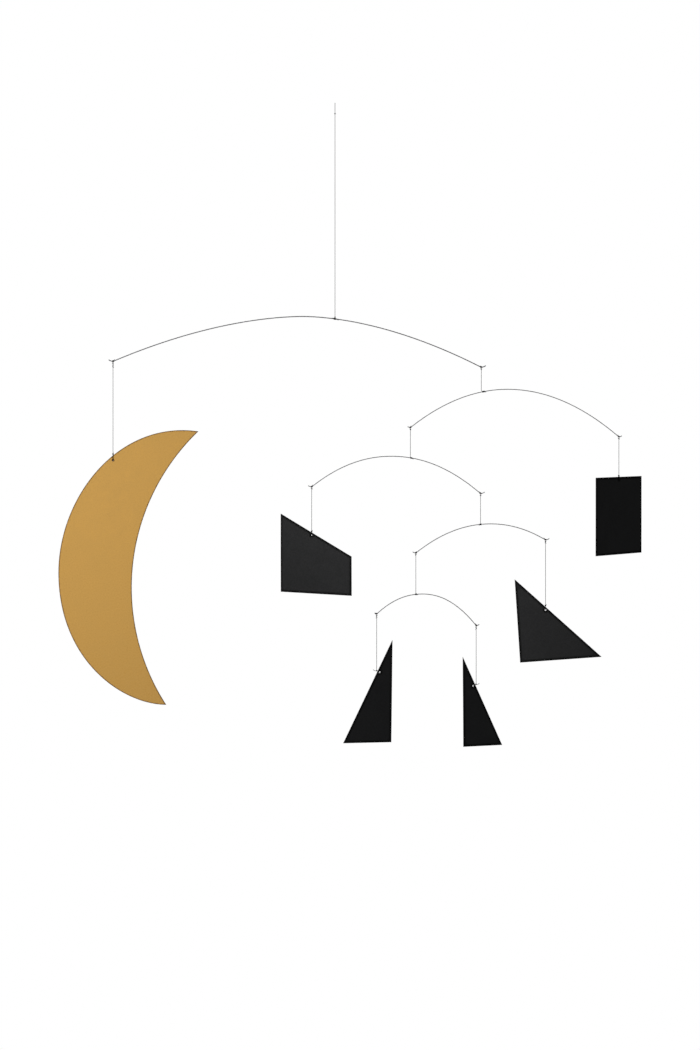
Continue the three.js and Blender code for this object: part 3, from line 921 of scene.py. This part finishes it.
# Each point's distance from a closed line: the least over its sides of the distance to the nearest
# place on one.
def distanceFrom(points, line):
    a, b = line, np.roll(line, -1, axis=0)
    way = b - a
    share = np.clip(((points[:, None] - a) * way).sum(-1) / (way * way).sum(-1), 0, 1)
    return np.linalg.norm(points[:, None] - a - share[..., None] * way, axis=-1).min(1)


# Whether each point is inside a closed line: a ray from it crosses the line an odd number of times.
def insideOf(points, line):
    a, b = line, np.roll(line, -1, axis=0)
    x, y = points[:, :1], points[:, 1:]
    spans = (a[:, 1] > y) != (b[:, 1] > y)
    rise = np.where(b[:, 1] == a[:, 1], 1, b[:, 1] - a[:, 1])
    return (spans & (x < a[:, 0] + (y - a[:, 1]) / rise * (b[:, 0] - a[:, 0]))).sum(1) % 2 == 1


# A flat sheet as triangles: the cut edge, the hole's rim, rows that follow the edge, and a plain grid
# inside.
def sheetShell(outline, hole, holeDiameter):
    m = meshSet
    angle = 2 * math.pi * np.arange(m["holeSides"]) / m["holeSides"]
    circle = np.stack([np.cos(angle), np.sin(angle)], 1)
    holeRadius = holeDiameter / 2
    rim = hole + holeRadius * circle
    ways = unit(np.roll(outline, -1, axis=0) - np.roll(outline, 1, axis=0))
    turned = np.stack([-ways[:, 1], ways[:, 0]], 1)
    lines = [outline, rim]
    for row in m["rows"]:
        for shifted in (outline + row * turned, outline - row * turned):
            keep = insideOf(shifted, outline) & (distanceFrom(shifted, outline) > 0.9 * row)
            keep &= np.linalg.norm(shifted - hole, axis=1) > holeRadius + 0.8
            lines.append(shifted[keep])
    lines.append(hole + 1.7 * holeRadius * circle[::2])
    low, high = outline.min(0), outline.max(0)
    grid = np.stack(np.meshgrid(*[np.arange(a + m["grid"] / 2, b, m["grid"]) for a, b in zip(low, high)]), -1)
    grid = grid.reshape(-1, 2)
    keep = insideOf(grid, outline) & (distanceFrom(grid, outline) > m["rows"][-1] + 1.0)
    lines.append(grid[keep & (np.linalg.norm(grid - hole, axis=1) > 2.6 * holeRadius)])
    first = np.arange(len(outline))
    second = len(outline) + np.arange(len(rim))
    edges = [*zip(first, np.roll(first, -1)), *zip(second, np.roll(second, -1))]
    edges = [(int(a), int(b)) for a, b in edges]
    points, _, faces, *_ = delaunay_2d_cdt(np.vstack(lines).tolist(), edges, [], 1, 1e-6)
    points = np.array([tuple(p) for p in points])
    faces = np.array(faces)
    middle = points[faces].mean(1)
    insideRadius = 0.99 * holeRadius * math.cos(math.pi / m["holeSides"])
    faces = faces[(np.linalg.norm(middle - hole, axis=1) > insideRadius) & insideOf(middle, outline)]
    edgeDistance = np.minimum(distanceFrom(points, outline), distanceFrom(points, rim))
    return points, faces, edgeDistance


# From a sheet's own plane, about its knot, to where it hangs: out of the plane, turned about the
# thread, and down.
def hung(flat, depth, turn, knotAt):
    c, s = math.cos(math.radians(turn)), math.sin(math.radians(turn))
    x, y = flat[:, 0], np.broadcast_to(depth, flat.shape[:1])
    return (np.stack([x * c - y * s, x * s + y * c, flat[:, 1]], 1) + knotAt) * mm


def holeOf(s):
    return s.get("holeDiameter", sheetShared["holeDiameter"])


def makeSheet(name, s, outline, knot, hole, knotAt):
    points, faces, edgeDistance = sheetShell(outline, knot + hole, holeOf(s))
    flat = points - knot
    away = np.linalg.norm(flat - hole, axis=1)
    depth = s["bow"] * (away / away.max()) ** 2
    vertices = hung(flat, depth, s["turn"], knotAt)
    shell = {"vertices": vertices, "faces": [faces], "uv": (points / 100)[faces.ravel()]}
    looks = [goldCard, goldRim] if name == "moon" else [blackCard, blackRim]
    piece = makePiece(name + "_sheet", shell, looks, name, [name])
    piece.data.attributes.new("edgeDistance", "FLOAT", "POINT").data.foreach_set(
        "value", (edgeDistance * mm).astype(np.float32))
    thick = piece.modifiers.new("thickness", "SOLIDIFY")
    thick.thickness = s["thickness"] * mm
    thick.offset = 0.0
    thick.material_offset_rim = 1
    soften = piece.modifiers.new("cutEdge", "BEVEL")
    soften.width = sheetShared["bevel"] * mm
    soften.segments = 2
    soften.limit_method = "ANGLE"
    soften.angle_limit = math.radians(60)
    soften.harden_normals = True


# How far below the middle of its hole a strand's front hangs, on sheets held by two strands and by one.
snugSag, looseSag = 0.36, 0.1
# Each card's knot has a cut tail. Its tip is (sideways, towards the viewer, up) from the knot.
knotTails = {
    "moon": (0.5, 0.9, 1.6),
    "square_card": (-1.0, 0.8, 1.1),
    "trapezium_card": (0.9, 0.9, 1.3),
    "triangle_card": (0.8, 0.9, 1.5),
    "left_narrow_card": (-3.8, 0.8, 1.4),
    "right_narrow_card": (3.4, 0.9, 1.3),
}


# From the knot down the front of the sheet, a little past the way in, through its hole and up the
# back, close to the hole's upper edge. Places are (towards the hole, across the sheet), sag is how
# far below the hole's middle the front of the strand hangs, and beside is how far it lies from the
# middle one.
def holdLoop(s, hole, knotAt, beside):
    sag = snugSag if "strands" in s else looseSag
    reach = np.linalg.norm(hole)
    depth = s["thickness"] / 2
    off = threadRadius / mm + 0.02
    edge = reach - off - math.sqrt((holeOf(s) / 2 - off) ** 2 - beside**2)
    half = [(0.3, 0.12), (0.3 * reach, 0.9 * (depth + off)), (edge - 0.25, depth + off),
            (edge + 0.7 * off, depth + 0.7 * off), (edge + off, 0.5 * depth)]
    bulge = [(edge, depth + off), (reach + 0.4 * sag - 0.1, depth + 1.7 * off), (reach + sag, depth + off)]
    front = half[:2] + bulge
    places = [(d, -y) for d, y in front] + [(edge + off, 0)] + [(d, y) for d, y in half[::-1]]
    line = smoothPath(np.array(places))
    aside = beside * np.clip(line[:, :1] / (0.5 * reach), 0, 1) * [-hole[1] / reach, hole[0] / reach]
    path = hung(line[:, :1] * hole / reach + aside, line[:, 1], s["turn"], knotAt)
    square = hung(np.array([[0, 0], hole, [0, 0]]), np.array([0, 0, 1.0]), s["turn"], np.zeros(3))
    return threadShell(path, unit(np.cross(square[1] - square[0], square[2] - square[0])))


def makeSheetThread(name, s, hole, knotAt, startAngle):
    carrier, out = s["hangs"]
    knotTop, shells = hangFrom(name, carrier, out, startAngle)
    middle = knotAt * mm
    run = threadShell(straightPath((middle[0], 0, knotTop - threadRadius), middle), (0, -1.0, 0))
    sideways, near, up = knotTails[name]
    tip = middle + np.array([sideways, -near, up]) * mm
    start = middle + np.array([0.1 * sideways, -0.45, -0.3]) * mm
    bent = middle + np.array([0.6 * sideways, -0.7 * near - 0.3, 0.15 * up]) * mm
    tail = threadShell(smoothPath([start, bent, tip]), (0, 1.0, 0.2))
    beside = threadRadius / mm + 0.01 if s.get("strands") == 2 else 0
    loops = [holdLoop(s, hole, knotAt, side) for side in sorted({-beside, beside})]
    # The strands through the hole take the darker thread, painted with the shade they lie in.
    for loop in loops:
        loop["look"] = 1
    shells += [run, barrelKnot(middle, cardKnot, startAngle + 0.8), *loops, tail]
    looks = [spunThread, shadowedThread]
    makePiece(threadNode(name) + "_run", together(shells), looks, name, [threadNode(name)])


for index, (name, s) in enumerate(sheetSet.items()):
    outline = moonOutline(s) if name == "moon" else cardOutline(s)
    knot, hole = holdOf(outline, s["inset"], s.get("aside", 0))
    carrier, out = s["hangs"]
    knotAt = placeOf[carrier] + seatOf(armSet[carrier], out) - [0, 0, s["threadLength"]]
    makeSheet(name, s, outline, knot, hole, knotAt)
    makeSheetThread(name, s, hole, knotAt, 0.7 + 1.1 * index)
print("sheets made")

# Light: a plain white surround, much dimmer for what it lights than for what the camera sees, a large
# soft key from the left, a panel in front that the moon mirrors, and one behind for the backs of the
# sheets.
lightSet = {
    "surround": 0.10,
    "key": {"spot": (-2.77, -1.6, 0.7), "size": 2.2, "power": 65.0},
    "front": {"spot": (-0.76, -3.39, -0.4), "size": 0.8, "power": 52.0},
    "back": {"spot": (0.3, 3.3, 0.5), "size": 2.0, "power": 45.0},
    "aim": (0, 0, -0.4),
}
floorSet = {
    "drop": 1.25, "radius": 14.0, "tone": (0.86, 0.86, 0.855),
    "fadeFrom": 0.2, "fadeTo": 1.0, "leastWhite": 0.6,
}


def makeLight(name, light, aim):
    data = bpy.data.lights.new(name, "AREA")
    data.shape = "DISK"
    data.size = light["size"]
    data.energy = light["power"]
    lamp = bpy.data.objects.new(name, data)
    lamp.location = light["spot"]
    lamp.rotation_euler = (Vector(aim) - Vector(light["spot"])).to_track_quat("-Z", "Y").to_euler()
    lamp.visible_camera = False
    bpy.context.scene.collection.objects.link(lamp)


# A white that the camera sees in full and that lights the object only with the surround's strength.
def whiteFor(tree, kind, strength, place):
    white = addNode(tree, kind, place)
    white.inputs["Color"].default_value = (1, 1, 1, 1)
    seen = addNode(tree, "LightPath", (place[0] - 2, place[1])).outputs["Is Camera Ray"]
    tree.links.new(spread(tree, seen, (place[0] - 1, place[1]), 0, 1, strength, 1), white.inputs["Strength"])
    return white.outputs[0]


def makeSurround(strength):
    world = bpy.data.worlds.new("surround")
    bpy.context.scene.world = world
    world.use_nodes = True
    tree = world.node_tree
    tree.nodes.clear()
    out = addNode(tree, "OutputWorld", (1, 0))
    tree.links.new(whiteFor(tree, "Background", strength, (0, 0)), out.inputs["Surface"])


# A round pale floor that fades to the white of the surround a little way out from under the object.
def makeFloor(f, strength):
    around = np.linspace(0, 2 * math.pi, 64, endpoint=False)
    radius, angle = np.meshgrid([0.001, 1.0, f["radius"]], around, indexing="ij")
    height = np.full(radius.shape, -f["drop"])
    vertices = np.stack([radius * np.cos(angle), radius * np.sin(angle), height], -1)
    rings, sides = radius.shape
    k, j = (a.ravel() for a in np.meshgrid(np.arange(rings - 1), np.arange(sides), indexing="ij"))
    following = (j + 1) % sides
    here, ahead = k * sides, (k + 1) * sides
    quads = np.stack([here + j, ahead + j, ahead + following, here + following], 1)
    flat = vertices.reshape(-1, 3)
    look, tree, shader = newLook("paleFloor")
    shader.inputs["Base Color"].default_value = (*f["tone"], 1)
    shader.inputs["Roughness"].default_value = 0.9
    spot = addNode(tree, "TexCoord", (-4, 0)).outputs["Object"]
    level = addNode(tree, "Mapping", (-3, 0))
    level.inputs["Scale"].default_value = (1, 1, 0)
    tree.links.new(spot, level.inputs["Vector"])
    length = addNode(tree, "VectorMath", (-2, 0), operation="LENGTH")
    tree.links.new(level.outputs["Vector"], length.inputs[0])
    away = spread(tree, length.outputs["Value"], (-1, 0), f["fadeFrom"], f["fadeTo"], f["leastWhite"])
    mix = addNode(tree, "MixShader", (3, 0))
    tree.links.new(away, mix.inputs[0])
    tree.links.new(shader.outputs[0], mix.inputs[1])
    tree.links.new(whiteFor(tree, "Emission", strength, (2, -1)), mix.inputs[2])
    tree.links.new(mix.outputs[0], tree.nodes["Material Output"].inputs["Surface"])
    shell = {"vertices": flat, "faces": [quads], "uv": flat[quads.ravel()][:, :2]}
    makeMesh("floor", shell, [look])


makeSurround(lightSet["surround"])
makeLight("key", lightSet["key"], lightSet["aim"])
makeLight("front", lightSet["front"], lightSet["aim"])
makeLight("back", lightSet["back"], lightSet["aim"])
makeFloor(floorSet, lightSet["surround"])
bpy.context.scene.view_settings.view_transform = "Standard"
print("light and floor made")
